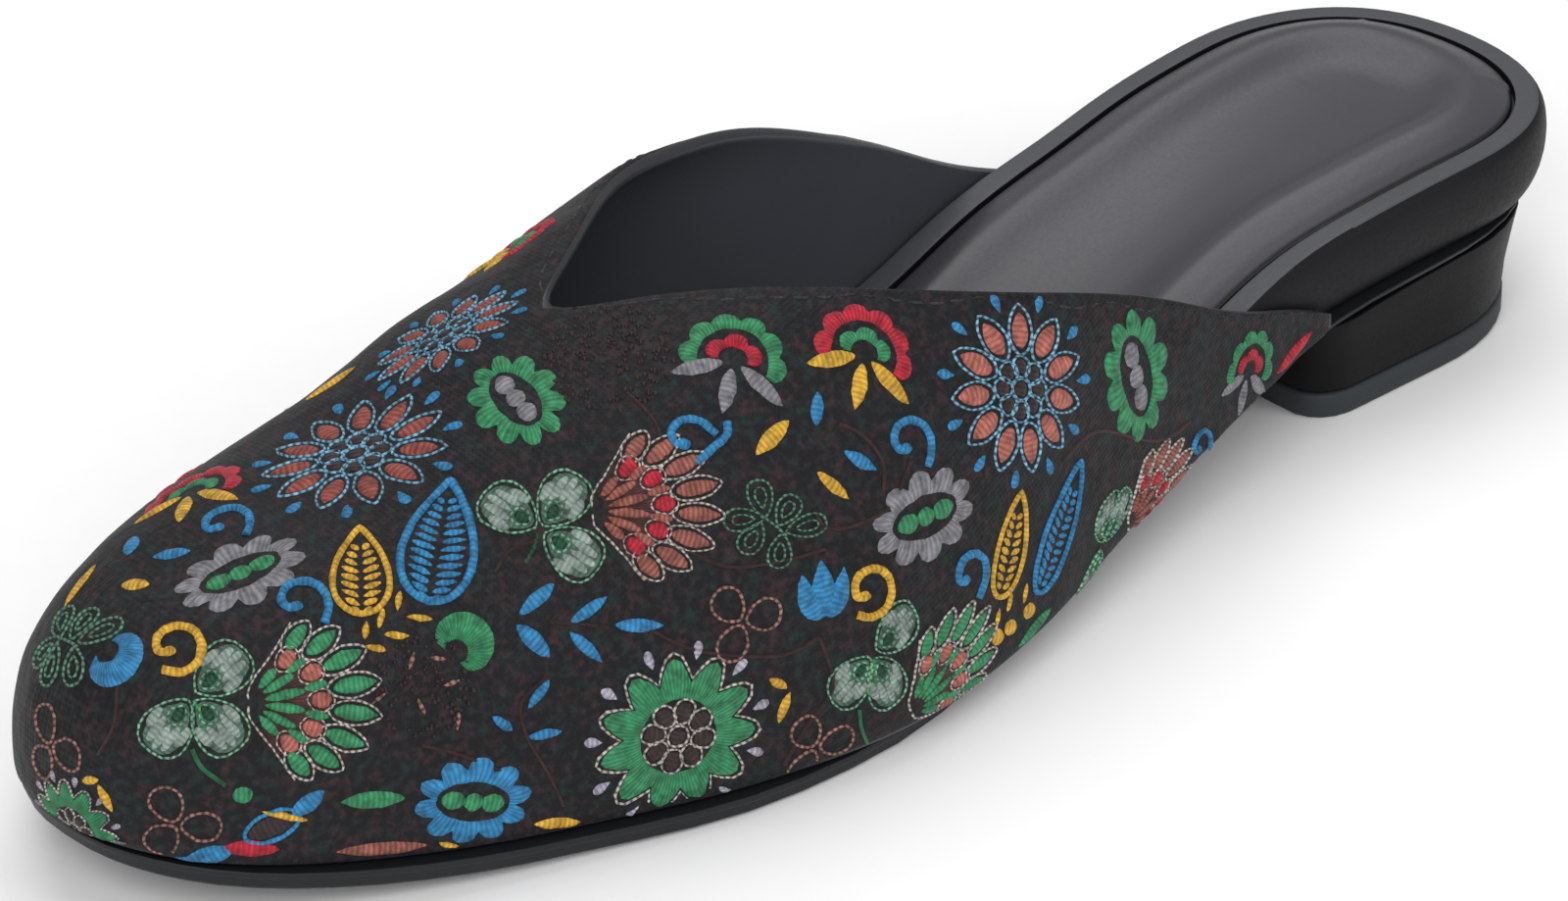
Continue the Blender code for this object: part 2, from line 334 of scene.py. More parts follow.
def brocade_material():
    """Black polyester brocade, woven in fine ribs and shot with dull red and green threads that show as
    flecks: matte, with a grey sheen where it turns away. The ribs of the real cloth are near 0.4 mm and are
    drawn at 0.7 mm, so that they show."""
    material, tree = new_material("brocade_black")
    flat = place_on(tree, "UV")
    place = place_on(tree)
    ribs = ribbed(tree, flat, RIB_SCALE / 0.7, "X", 1.2)
    picks = ribbed(tree, flat, RIB_SCALE / 0.7, "Y", 1.2)
    weave = node(tree, "Math", {"operation": "MULTIPLY", 0: ribs, 1: picks}).outputs[0]
    specks = cloudy(tree, place, 1.1, 3.0)
    ground = mixed(tree, cloudy(tree, place, 14.0, 3.0), linear("#0c0c0e"), linear("#17171a"))
    turn = ranged(tree, cloudy(tree, place, 3.2, 2.0), 0.43, 0.57)
    fleck = mixed(tree, turn, linear("#3f292d"), linear("#20312f"))
    flecked = mixed(tree, ranged(tree, specks, 0.44, 0.72, 0.0, 0.7), ground, fleck)
    pucker = cloudy(tree, place, 4.5, 2.0)
    relief = added(tree, pucker, 9.0, added(tree, specks, 1.2, weave))
    return finished(material, {
        "Base Color": flecked, "Roughness": 0.62, "Normal": bumped(tree, relief, 0.06),
        "Sheen Weight": 0.03, "Sheen Roughness": 0.5, "Specular IOR Level": 0.2})


def sock_material():
    """Coated leather of the sock, plated smooth: broad soft reflections, and a thin line of painted shade
    along its cut edge, standing in for the dark of the groove against the footbed's rim."""
    material = hide_material("sock_plated", "#3a3a40", 0.36, 0.8, 0.012, 30.0, 0.45, 0.1)
    tree = material.node_tree
    tint = tree.nodes["Principled BSDF"].inputs["Base Color"]
    inset = node(tree, "Attribute", {"attribute_name": "inset"}).outputs["Fac"]
    # Painted shade: fully dark within 0.4 mm of the sock's edge, fading out by 0.8 mm, where the groove falls
    # dark
    painted_groove_shade = ranged(tree, inset, 0.4, 0.8, 1.0, 0.0)
    tree.links.new(mixed(tree, painted_groove_shade, tint.links[0].from_socket, linear("#0b0b0d")), tint)
    return material


def thread_material(name, finish):
    """Viscose sewing thread: a soft silky shine in close parallel stitches, with painted shade darkening the
    gaps between them. Real stitches lie about 0.35 mm apart and are drawn coarser, so that they show."""
    material, tree = new_material("thread_" + name)
    stitches = ribbed(tree, place_on(tree, "UV"), RIB_SCALE / finish.pitch, "X", 0.5)
    turn = ranged(tree, cloudy(tree, place_on(tree), 1.3, 3.0), 0.3, 0.7)
    tone = mixed(tree, turn, shade(finish.colour, 0.5), shade(finish.colour, 1.3))
    # Painted shade: the gaps between stitches are darkened towards a near-black tint of the thread, standing
    # in for the shade in the grooves
    gap = ranged(tree, stitches, 0.1, 0.65, finish.gap, 0.0)
    return finished(material, {
        "Base Color": mixed(tree, gap, tone, shade(finish.colour, 0.12)), "Roughness": 0.5,
        "Normal": bumped(tree, stitches, 0.12),
        "Sheen Weight": 0.05, "Sheen Roughness": 0.4, "Specular IOR Level": 0.25})


def tread_material(name, colour, pitch):
    """Moulded rubber with low wavy ribs across the tread."""
    material, tree = new_material(name)
    place = place_on(tree)
    ribs = ribbed(tree, place, RIB_SCALE * per_mm(pitch), "X", 0.6)
    tone = mixed(tree, cloudy(tree, place, 9.0, 3.0), shade(colour, 0.85), shade(colour, 1.2))
    return finished(material, {
        "Base Color": tone, "Roughness": 0.6, "Normal": bumped(tree, ribs, 0.5), "Specular IOR Level": 0.3})


def floor_material():
    """Matte white paper sweep, with a faint tooth."""
    material, tree = new_material("studio_paper")
    tooth = cloudy(tree, place_on(tree), 6.0, 2.0)
    tone = mixed(tree, tooth, linear("#fafafa"), linear("#fdfdfd"))
    return finished(material, {"Base Color": tone, "Roughness": 0.9})


# Camera

BACK = Vector((
    math.cos(CAMERA_AZIMUTH) * math.cos(CAMERA_ELEVATION),
    math.sin(CAMERA_AZIMUTH) * math.cos(CAMERA_ELEVATION),
    math.sin(CAMERA_ELEVATION)))
LEVEL_RIGHT = Vector((-math.sin(CAMERA_AZIMUTH), math.cos(CAMERA_AZIMUTH), 0.0))
LEVEL_UP = BACK.cross(LEVEL_RIGHT)
RIGHT = LEVEL_RIGHT * math.cos(CAMERA_ROLL) + LEVEL_UP * math.sin(CAMERA_ROLL)
UP = LEVEL_UP * math.cos(CAMERA_ROLL) - LEVEL_RIGHT * math.sin(CAMERA_ROLL)
EYE = CAMERA_TARGET + BACK * CAMERA_DISTANCE


def set_camera():
    bpy.ops.object.camera_add(location=EYE, rotation=Matrix((RIGHT, UP, BACK)).transposed().to_euler())
    camera = bpy.context.object
    camera.name = "camera"
    camera.data.lens = LENS
    camera.data.sensor_width = SENSOR
    bpy.context.scene.camera = camera


def sight(column, row):
    """Direction of the line of sight through a point of the picture."""
    focal = LENS / SENSOR * PICTURE_WIDTH
    across = (column - 0.5 * PICTURE_WIDTH) / focal
    down = (row - 0.5 * PICTURE_HEIGHT) / focal
    return (RIGHT * across - UP * down - BACK).normalized()


# Upper


def sort_sheets(piece):
    """Give the outside, the inside and the turned edge of the shell their materials, by the way they face."""
    for polygon in piece.data.polygons:
        axis = Vector((min(polygon.center.x, AXIS_TOE * MM), CREST_SIDE * MM, AXIS_HEIGHT * MM))
        facing = polygon.normal.dot((polygon.center - axis).normalized())
        if abs(facing) < SHEET_FACING:
            polygon.material_index = TURNED
        else:
            polygon.material_index = OUTSIDE if facing > 0 else INSIDE


def lay_weave(piece):
    """Lay the cloth out flat, in millimetres, for the ribs of the weave to run straight."""
    mesh = piece.data
    mesh.uv_layers.new(name="weave")
    select_only(piece)
    bpy.ops.object.mode_set(mode="EDIT")
    bpy.ops.mesh.select_mode(type="FACE")
    bpy.ops.mesh.select_all(action="DESELECT")
    piece.active_material_index = OUTSIDE
    bpy.ops.object.material_slot_select()
    bpy.ops.uv.unwrap(method="ANGLE_BASED", margin=0.0)
    bpy.ops.object.mode_set(mode="OBJECT")
    flat = mesh.uv_layers["weave"].data
    cloth_way = 0.0
    flat_way = 0.0
    for polygon in mesh.polygons:
        if polygon.material_index == OUTSIDE:
            first, second = list(polygon.loop_indices)[:2]
            ends = [mesh.vertices[mesh.loops[corner].vertex_index].co for corner in (first, second)]
            cloth_way += (ends[1] - ends[0]).length / MM
            flat_way += (flat[second].uv - flat[first].uv).length
    for corner in flat:
        corner.uv *= cloth_way / flat_way


def upper():
    """The shell of the upper: brocade outside, lining inside, and the turned edge between them."""
    piece = copy_of("upper", "upper_shell", BROCADE, LINING, EDGE)
    sort_sheets(piece)
    subdivided(piece, 2)
    mesh = piece.data
    outside = set()
    others = set()
    for polygon in mesh.polygons:
        (outside if polygon.material_index == OUTSIDE else others).update(polygon.vertices)
    normals = {index: mesh.vertices[index].normal.copy() for index in outside - others}
    for index, normal in normals.items():
        point = mesh.vertices[index].co
        place = point / (SWELL_SPACING * MM)
        swell = noise.noise(place) + 0.5 * noise.noise(place / SWELL_QUICKER)
        mesh.vertices[index].co = point + normal * (SWELL_HEIGHT * MM * swell)
    lay_weave(piece)
    smoothed(piece)
    placed(piece, "upper_cloth", "upper")
    return piece


def outside_tree(piece):
    """The upper's outside, for finding where sewing lies on it."""
    points = [vertex.co for vertex in piece.data.vertices]
    faces = [tuple(polygon.vertices) for polygon in piece.data.polygons if polygon.material_index == OUTSIDE]
    return BVHTree.FromPolygons(points, faces)


def turned_line(piece):
    """Points along the upper's top edge, where the brocade meets the turned edge, from tail to tail."""
    mesh = bmesh.new()
    mesh.from_mesh(piece.data)
    mesh.verts.ensure_lookup_table()
    neighbours = {}
    for edge in mesh.edges:
        turned = [face for face in edge.link_faces if face.material_index == TURNED]
        cloth = [face for face in edge.link_faces if face.material_index == OUTSIDE]
        if turned and cloth and turned[0].normal.z > TOPLINE_FACING:
            first, second = edge.verts
            neighbours.setdefault(first.index, []).append(second.index)
            neighbours.setdefault(second.index, []).append(first.index)
    lines = []
    for end in [index for index in neighbours if len(neighbours[index]) == 1]:
        line = [end]
        following = neighbours[end]
        while following:
            line.append(following[0])
            following = [index for index in neighbours[line[-1]] if index != line[-2]]
        lines.append(line)
    line = max(lines, key=len)
    points = [mesh.verts[index].co.copy() for index in line]
    mesh.free()
    evened = []
    for i in range(len(points)):
        near = points[max(i - SEAM_EVENING, 0):i + SEAM_EVENING + 1]
        evened.append(sum(near, Vector()) / len(near))
    return evened


# Laying thread on the cloth


Spot = namedtuple("Spot", "point normal along across")


def turned_way(first, second, degrees):
    """The way that lies so many degrees from a first direction towards a second one."""
    return first * math.cos(math.radians(degrees)) + second * math.sin(math.radians(degrees))


def turned_to(point, normal, along):
    """A spot on the cloth with its two directions square to each other and to the cloth."""
    along = (along - normal * along.dot(normal)).normalized()
    return Spot(point, normal, along, normal.cross(along))


def seen_at(cloth, column, row):
    """The place and facing of the cloth at a point of the picture, or the nearest past its outline."""
    line = sight(column, row)
    point, normal, _, _ = cloth.ray_cast(EYE, line)
    if point is None:
        reaches = [CAMERA_DISTANCE + SEARCH_STEP * MM * i for i in range(-SEARCH_STEPS, SEARCH_STEPS + 1)]
        trials = [cloth.find_nearest(EYE + line * reach) for reach in reaches]
        point, normal, _, _ = min(trials, key=lambda trial: trial[3])
    return point, normal


def picture_spot(cloth, column, row, heading):
    """The spot seen at a point of the picture; heading turns anticlockwise from the picture's right."""
    point, normal = seen_at(cloth, column, row)
    way = turned_way(RIGHT, UP, heading)
    view = (point - EYE).normalized()
    along = way - view * (way.dot(normal) / view.dot(normal))
    return turned_to(point, normal, along)


def far_spot(cloth, station, turn, heading):
    """A spot given by its place along the shoe and its turn round it; heading turns from the toe upwards."""
    axis = Vector((station, CREST_SIDE, AXIS_HEIGHT)) * MM
    outward = turned_way(Vector((0.0, 1.0, 0.0)), Vector((0.0, 0.0, 1.0)), turn)
    point, normal, _, _ = cloth.ray_cast(axis + outward, -outward)
    level = turned_to(point, normal, Vector((1.0, 0.0, 0.0)))
    return turned_to(point, normal, turned_way(level.along, level.across, heading))


def spread(cloth, spot, long=1.0, wide=1.0):
    """How the cloth round a spot is laid out flat: gives the place of a point, in mm from the spot, where a
    figure is stretched along its heading and across it."""
    lines = []
    for i in range(SPREAD_LINES):
        way = turned_way(spot.along, spot.across, 360 * i / SPREAD_LINES)
        point = spot.point
        line = [(point, spot.normal, True)]
        on_cloth = True
        for _ in range(SPREAD_RINGS):
            found, normal, _, _ = cloth.find_nearest(point + way * (SPREAD_STEP * MM))
            step = found - point
            on_cloth = on_cloth and step.length > SPREAD_KEPT * SPREAD_STEP * MM
            if on_cloth:
                way = (step - normal * step.dot(normal)).normalized()
            point = found
            line.append((point, normal, on_cloth))
        lines.append(line)

    def lay(a, b, lift):
        reached = min(math.hypot(a * long, b * wide) / SPREAD_STEP, SPREAD_RINGS - 0.001)
        ring = int(reached)
        outer = reached - ring
        turned = math.atan2(b * wide, a * long) / (2 * math.pi) * SPREAD_LINES % SPREAD_LINES
        first = int(turned) % SPREAD_LINES
        second = (first + 1) % SPREAD_LINES
        side = turned - int(turned)
        point = Vector()
        normal = Vector()
        for line, part in ((lines[first], 1 - side), (lines[second], side)):
            for (corner, facing, on_cloth), share in ((line[ring], 1 - outer), (line[ring + 1], outer)):
                point += corner * (part * share)
                normal += facing * (part * share)
                if not on_cloth and part * share > 0.01:
                    lift = -HIDDEN
        return point + normal.normalized() * (lift * MM)

    return lay


def picture_lay(cloth):
    """Lays thread by points of the picture: a is the column, b the row upwards."""
    def lay(a, b, lift):
        point, normal = seen_at(cloth, a, -b)
        return point + normal * (lift * MM)

    return lay


def edge_lay(cloth, edge):
    """Lays thread along the top edge: a is the way along it, b the way down from it, both in mm."""
    ways = [0.0]
    for before, after in zip(edge, edge[1:]):
        ways.append(ways[-1] + (after - before).length / MM)

    def lay(a, b, lift):
        i = 0
        while i < len(ways) - 2 and ways[i + 1] < a:
            i += 1
        along = (edge[i + 1] - edge[i]).normalized()
        point = edge[i] + along * ((a - ways[i]) * MM)
        _, normal, _, _ = cloth.find_nearest(point)
        inward = normal.cross(along).normalized()
        trials = [cloth.find_nearest(point + inward * (sign * b * MM)) for sign in (1, -1)]
        found, facing, _, _ = max(trials, key=lambda trial: (trial[0] - point).length)
        return found + facing * (lift * MM)

    return lay, ways[-1]


Stitching = namedtuple("Stitching", "thread rows closed length")
Row = namedtuple("Row", "way stitches")


def polar(radius, degrees, centre=(0.0, 0.0)):
    turn = math.radians(degrees)
    return Vector((centre[0] + radius * math.cos(turn), centre[1] + radius * math.sin(turn)))


def flowing(points):
    """A smooth line through given points."""
    points = [Vector(point) for point in points]
    last = len(points) - 1
    line = []
    for i in range(last):
        p0, p1, p2, p3 = (points[min(max(i + k, 0), last)] for k in (-1, 0, 1, 2))
        for step in range(FLOW_STEPS):
            t = step / FLOW_STEPS
            line.append(0.5 * (2 * p1 + (p2 - p0) * t + (2 * p0 - 5 * p1 + 4 * p2 - p3) * t * t
                               + (3 * p1 - p0 - 3 * p2 + p3) * t * t * t))
    return line + [points[last]]


def opening(share, root, point):
    """Share of a leaf's full width at a share of its length; smaller powers make blunter ends."""
    belly = root / (root + point)
    fullest = belly ** root * (1 - belly) ** point
    return share ** root * (1 - share) ** point / fullest


def eased(steps):
    """Shares of a length, from 0 to 1, closer together towards both ends."""
    return [0.5 - 0.5 * math.cos(math.pi * i / steps) for i in range(steps + 1)]


def stitch(left, right, rise):
    """The points of one stitch from side to side, rounded over and rising so high from where it sinks in."""
    spots = [left.lerp(right, 0.5 * (across + 1)) for across, _ in CROWN]
    return [(spot.x, spot.y, rise * crown - SINK) for spot, (_, crown) in zip(spots, CROWN)]


def leaf(thread, base, tip, width, root=0.75, point=0.75, bow=0.0, height=SATIN_HEIGHT):
    """A satin-stitched leaf or drop from its base to its tip."""
    base = Vector(base)
    spine = Vector(tip) - base
    length = spine.length
    side = Vector((-spine.y, spine.x)) / length
    steps = min(max(int(length * 1.3) + 4, 6), 12)
    rows = []
    for share in eased(steps):
        open_share = max(opening(share, root, point), 0.05)
        middle = base + spine * share + side * (4 * bow * share * (1 - share))
        half = side * (0.5 * width * open_share)
        rise = (height + SINK) * math.sqrt(open_share)
        rows.append(Row(share * length, stitch(middle - half, middle + half, rise)))
    return Stitching(thread, rows, False, length)


def knot(thread, centre, radius, height=SATIN_HEIGHT):
    """A round raised knot."""
    reach = Vector((radius, 0.0))
    centre = Vector(centre)
    return leaf(thread, centre - reach, centre + reach, 2 * radius, 0.5, 0.5, height=height)


def cord(thread, line, width, closed=False, height=CORD_HEIGHT):
    """A laid cord along a line."""
    count = len(line)
    rows = []
    way = 0.0
    for i in range(count):
        before = line[i - 1] if i or closed else line[i]
        after = line[(i + 1) % count] if i < count - 1 or closed else line[i]
        along = (after - before).normalized()
        half = Vector((-along.y, along.x)) * (0.5 * width)
        if i:
            way += (line[i] - line[i - 1]).length
        rows.append(Row(way, stitch(line[i] - half, line[i] + half, height + SINK)))
    return Stitching(thread, rows, closed, way + (line[0] - line[-1]).length)


def ring_line(centre, radius):
    return [polar(radius, 30 * i, centre) for i in range(12)]


def leaf_line(base, tip, width, root, point, steps=9):
    """The outline of a leaf, as a closed line."""
    base = Vector(base)
    spine = Vector(tip) - base
    side = Vector((-spine.y, spine.x)).normalized()
    right = []
    left = []
    for share in eased(steps):
        half = side * (0.5 * width * opening(share, root, point))
        right.append(base + spine * share - half)
        left.append(base + spine * share + half)
    return right + left[-2:0:-1]


def outline(thread, base, tip, width, root=0.75, point=0.75, breadth=0.34, height=CORD_HEIGHT):
    """A thin cord round a leaf."""
    return cord(thread, leaf_line(base, tip, width, root, point), breadth, True, height)


def frill(thread, start, end, inner, outer, scallops, depth,
          stretch=1.0, hollow=1.0, blunt=0.7, height=SATIN_HEIGHT):
    """A scalloped arc or ring of satin stitch, between an inner and an outer radius. stretch and hollow
    lengthen its outer and inner line; the scallops are rounder where blunt is less."""
    closed = end - start >= 360
    steps = scallops * max(6, math.ceil(20 / scallops))
    rows = []
    for i in range(steps if closed else steps + 1):
        degrees = start + (end - start) * i / steps
        lobe = frill_lobe(scallops * i / steps, blunt)
        outside = polar(outer - depth * (1 - lobe), degrees)
        inside = polar(inner, degrees)
        outside.x *= stretch
        inside.x *= hollow
        rise = height * (0.55 + 0.45 * lobe) + SINK
        rows.append(Row(math.radians(degrees - start) * outer, stitch(outside, inside, rise)))
    return Stitching(thread, rows, closed, math.radians(end - start) * outer)


def frill_lobe(place, blunt):
    """Height of a scallop, from 0 to 1, at a place along the frill counted in scallops."""
    return abs(math.sin(math.pi * place)) ** blunt


def sew(lay, stitching):
    """Lay one piece of stitching on the cloth and add it to its thread."""
    points, faces, marks = sewn[stitching.thread]
    first = len(points)
    rows = stitching.rows
    width = len(rows[0].stitches)
    for row in rows:
        for a, b, lift in row.stitches:
            place = Vector((a, b, first)) / WOBBLE_SPACING
            stray_along = WOBBLE * noise.noise(place)
            stray_across = WOBBLE * noise.noise(place + WOBBLE_APART)
            points.append(lay(a + stray_along, b + stray_across, lift))
    for i in range(len(rows) if stitching.closed else len(rows) - 1):
        following = (i + 1) % len(rows)
        here = first + i * width
        there = first + following * width
        way_here = rows[i].way
        way_there = rows[following].way if following else stitching.length
        for j in range(width):
            k = (j + 1) % width
            faces.append((here + j, there + j, there + k, here + k))
            marks.extend(((way_here, j), (way_there, j), (way_there, k), (way_here, k)))
    if not stitching.closed:
        last = first + (len(rows) - 1) * width
        faces.append(tuple(range(first, first + width)))
        marks.extend((rows[0].way, j) for j in range(width))
        faces.append(tuple(range(last + width - 1, last - 1, -1)))
        marks.extend((rows[-1].way, j) for j in range(width - 1, -1, -1))


# The flowers and other figures, drawn in mm round their own middle with their heading along +a


def fan(count, edge):
    """Turns of a rank of petals, even from edge to edge, each with how far out it is, from 0 to 1."""
    shares = [2 * k / (count - 1) - 1 for k in range(count)]
    return [(edge * share, share * share) for share in shares]


def rosette(petal, breadth):
    """A wheel of pointed petals round a honeycomb of knots, with a drop between each two petals."""
    edging = "sky_chain"
    petals = 11
    for k in range(9):
        centre = polar(2.8 if k else 0.0, 45 * k)
        yield knot("brown", centre, 1.05)
        yield cord(edging, ring_line(centre, 1.36), 0.32, True)
    for k in range(petals):
        turn = 360 * k / petals
        between = turn + 180 / petals
        yield leaf(petal, polar(5.0, turn), polar(9.6, turn), 2.9 * breadth, 0.55, 0.7)
        yield outline(edging, polar(4.2, turn), polar(10.6, turn), 3.5 * breadth, 0.6)
        yield leaf("blue", polar(9.8, between), polar(12.3, between), 1.5, 1.0, 0.5)


def sunflower():
    """A star of joined pointed petals round a ring of dark seeds, with a drop between each two points."""
    edging = "ivory_chain"
    points = 11
    rim_steps = 6 * points
    yield frill("green", 0, 360, 4.6, 10.7, points, 3.4, blunt=1.25)
    rim = []
    for i in range(rim_steps):
        lobe = frill_lobe(points * i / rim_steps, 1.25)
        rim.append(polar(11.0 - 3.4 * (1 - lobe), 360 * i / rim_steps))
    yield cord(edging, rim, 0.36, True)
    yield knot("brown", (0.0, 0.0), 1.15)
    yield cord(edging, ring_line((0.0, 0.0), 1.4), 0.32, True)
    for k in range(8):
        yield leaf("brown", polar(1.9, 45 * k), polar(4.6, 45 * k), 2.3, 0.45, 0.4)
        yield outline(edging, polar(1.7, 45 * k), polar(4.9, 45 * k), 2.7, 0.45, 0.4, 0.3)
    for k in range(points):
        turn = 360 * k / points
        yield leaf("lilac", polar(9.9, turn), polar(12.4, turn), 1.5, 1.0, 0.5)


def lotus(petal, drop):
    """A half-open flower from the side: a fan of pointed petals, with ranks of drops and inner petals."""
    edging = "ivory_chain"
    yield frill("plum", -57, 57, 0.6, 12.8, 1, 3.4, height=0.1)
    for turn, out in fan(8, 49):
        reach = 18.4 - 5.0 * out
        yield leaf(petal, polar(0.64 * reach, turn), polar(reach - 0.6, turn), 2.4, 0.6, 0.7)
        yield outline(edging, polar(0.6 * reach, turn), polar(reach, turn), 3.2, 0.6, 0.7)
    for turn, out in fan(6, 45):
        yield leaf(petal, polar(2.4, turn), polar(8.2 - 2.2 * out, turn), 1.5, 0.7, 0.6)
    for turn, out in fan(4, 33):
        inner = 8.0 - 1.6 * out
        yield leaf(petal, polar(inner, turn), polar(inner + 3.4, turn), 1.5, 0.7, 0.6)
    for turn, out in fan(5, 43):
        inner = 8.6 - 2.4 * out
        yield leaf(drop, polar(inner, turn), polar(inner + 2.9, turn), 2.4, 0.6, 0.5, height=0.5)
        yield outline(edging, polar(inner - 0.4, turn), polar(inner + 3.3, turn), 2.9, 0.6, 0.5, 0.28)
    for side in (1, -1):
        edge = [(0.3, 0.4 * side), (0.6, 2.2 * side), (3.4, 5.8 * side), (6.4, 10.0 * side)]
        yield cord(edging, flowing(edge), 0.34)


def clover(stalk="green", left=88, right=-88, stem=190):
    """Three round leaves with a chain-stitched edge, pale streaks along them and a dark loop at the foot.
    left and right are the turns of the outer leaves, stem that of the stalk."""
    edging = "mint_chain"
    for turn in (left, 0, right):
        yield leaf("moss", polar(0.9, turn), polar(8.6, turn), 6.4, 0.7, 0.4, height=0.22)
        yield outline(edging, polar(0.7, turn), polar(8.8, turn), 6.7, 0.7, 0.4)
        for side in (-2.2, -1.1, 0.0, 1.1, 2.2):
            foot = polar(4.0 - 0.15 * side * side, turn) + polar(side, turn + 90)
            end = foot + polar(4.4 - 0.28 * side * side, turn)
            yield leaf("sage", foot, end, 1.7, 0.45, 0.4, height=0.3)
        yield leaf("fern", polar(1.7, turn), polar(4.0, turn), 1.9, 0.7, 0.5)
        yield outline(edging, polar(1.6, turn), polar(4.2, turn), 2.2, 0.7, 0.5, 0.3, 0.44)
    yield cord(stalk, [polar(0.5, stem), polar(2.4, stem + 6), polar(4.6, stem)], 0.6)


def carnation(fringe, heart, sepal):
    """A scalloped fan over a smaller one, on three long sepals."""
    yield frill(fringe, -108, 108, 4.5, 7.2, 6, 1.0)
    yield frill(heart, -96, 96, 1.8, 4.0, 3, 0.9)
    for turn, reach in ((115, 8.4), (180, 7.8), (-122, 8.8)):
        yield leaf(sepal, polar(1.3, turn), polar(reach, turn), 2.5, 0.7, 0.8)


def oval(rim, heart):
    """A scalloped ring round three knots in a row."""
    yield frill(rim, 0, 360, 2.3, 5.8, 10, 1.6, 1.4, 2.1)
    for place, reach in ((-2.7, 1.6), (0.0, 1.35), (2.7, 1.6)):
        yield leaf(heart, (place - reach, 0.0), (place + reach, 0.0), 2.7, 0.5, 0.5)


def paisley(thread, length, width, tip):
    """A drop in a thick cord, with a herringbone of short stitches inside."""
    half = 0.5 * length
    pitch = 1.15
    yield cord(thread, leaf_line((-half, 0.0), (half, 0.0), width, 0.5, tip, 14), 0.13 * width, True, 0.45)
    for i in range(int(length / pitch)):
        a = -half + pitch * i
        room = 0.5 * width * opening((i + 0.9) * pitch / (length + pitch), 0.5, tip) - 1.0
        if room > 0.9:
            for side in (1, -1):
                yield leaf(thread, (a, 0.2 * side), (a + 0.9, room * side), 1.05, height=0.25)


def hook(thread, closing=False):
    """A curl that winds up into its own middle; closing carries its tail on round."""
    curl = [
        (-0.9, -0.9), (-2.2, -0.9), (-2.9, 0.3), (-2.4, 1.9),
        (-0.6, 2.8), (1.4, 2.4), (2.7, 0.8), (2.9, -1.2)]
    tail = [(2.2, -2.7), (0.4, -3.6), (-1.8, -3.3)] if closing else [(2.4, -3.2)]
    yield cord(thread, flowing(curl + tail), 1.25, height=0.55)
    yield knot(thread, (-1.1, -0.8), 0.85)


def curl_arrow(thread):
    """A curl whose tail turns back in an arrow."""
    points = [(-1.0, -1.2), (-2.3, -0.8), (-2.5, 0.8), (-1.0, 2.1), (1.2, 1.9), (3.2, 0.2)]
    yield cord(thread, flowing(points), 1.2, height=0.55)
    yield cord(thread, flowing([(4.7, 1.9), (4.6, 0.2), (2.6, -1.7), (0.4, -3.6)]), 1.2, height=0.55)
    yield knot(thread, (-1.1, -1.1), 0.85)


def tulip(thread):
    """A cup of three petals."""
    yield leaf(thread, (-3.6, 0.1), (4.2, 0.5), 4.4, 0.5, 0.9)
    yield leaf(thread, (-3.8, 0.7), (2.7, 3.4), 3.4, 0.5, 0.85, bow=0.6)
    yield leaf(thread, (-3.8, -0.5), (2.6, -3.0), 3.4, 0.5, 0.85, bow=-0.6, height=0.52)


def crescent(thread):
    """A plump crescent round a small hollow."""
    yield frill(thread, -115, 115, 1.4, 5.8, 1, 4.2)


def trefoil(thread):
    """Three open loops of chain stitch."""
    for turn in (90, 205, -30):
        yield outline(thread, polar(0.5, turn), polar(5.5, turn), 4.2, 0.65, 0.45, 0.45)


def loop_spray(thread):
    """A spray of open loops, one inside the other, on a short stem."""
    loops = (
        ((0, 0), (-1, 6.0)), ((0, 0), (-5.8, -0.6)), ((2, -1.2), (4.6, 3.4)),
        ((3.2, -2.2), (9.4, -0.6)), ((2.6, -2.6), (2.2, -8.0)), ((-0.4, -0.8), (-3.0, -5.6)))
    for foot, end in loops:
        base = Vector(foot)
        tip = Vector(end)
        yield outline(thread, base, tip, 3.6, 0.8, 0.45, 0.42)
        yield outline(thread, base.lerp(tip, 0.25), base.lerp(tip, 0.8), 1.6, 0.8, 0.45, 0.36)
    yield cord(thread, flowing([(0, 0), (2, -1.6), (3.2, -2.8)]), 0.46)


def blade(thread, length, width):
    """One plain leaf."""
    yield leaf(thread, (-0.5 * length, 0.0), (0.5 * length, 0.0), width)


def pod(thread):
    """One knot."""
    yield knot(thread, (0.0, 0.0), 1.3)


def speckled(reach, dash=None):
    """A patch of dark seed knots, with or without a few short dashes over it."""
    draw = random.Random(7)
    for _ in range(int(reach * reach * 2.6)):
        spot = polar(reach * math.sqrt(draw.random()), draw.uniform(0, 360))
        yield knot("brown", spot, draw.uniform(0.22, 0.42), 0.28)
    for k in range(6 if dash else 0):
        spot = polar(reach * (0.35 + 0.1 * k), 137 * k)
        yield leaf(dash, spot, spot + polar(2.4, 20 + 50 * k), 0.7)


def bug(wing, body, stripe):
    """A long figure: a wing, a body, a dark middle with an edging and a stripe across it, and a head."""
    yield leaf(wing, (-11.0, -2.6), (-3.0, -0.6), 4.0)
    yield leaf(body, (-4.6, -0.2), (2.4, -2.4), 2.8)
    yield leaf("brown", (-1.0, 0.4), (5.4, 1.8), 3.2, 0.5, 0.5)
    yield outline(wing, (-1.4, 0.3), (5.8, 1.9), 4.0, 0.5, 0.5, 0.7)
    yield leaf(wing, (4.8, 1.8), (9.6, 4.0), 2.8)
    yield leaf(stripe, (1.4, 3.6), (6.8, 0.6), 1.1, height=0.55)


# Figures by points of the picture. choices are what the figure's function is given; long and wide stretch it
# along its heading and across it
Sewn = namedtuple("Sewn", "column row heading figure choices long wide", defaults=(1.0, 1.0))


def blades(thread, *rows):
    """Chart rows for plain leaves of one thread, from the place, heading, length and width of each."""
    return [(*place, heading, blade, (thread, length, width)) for *place, heading, length, width in rows]


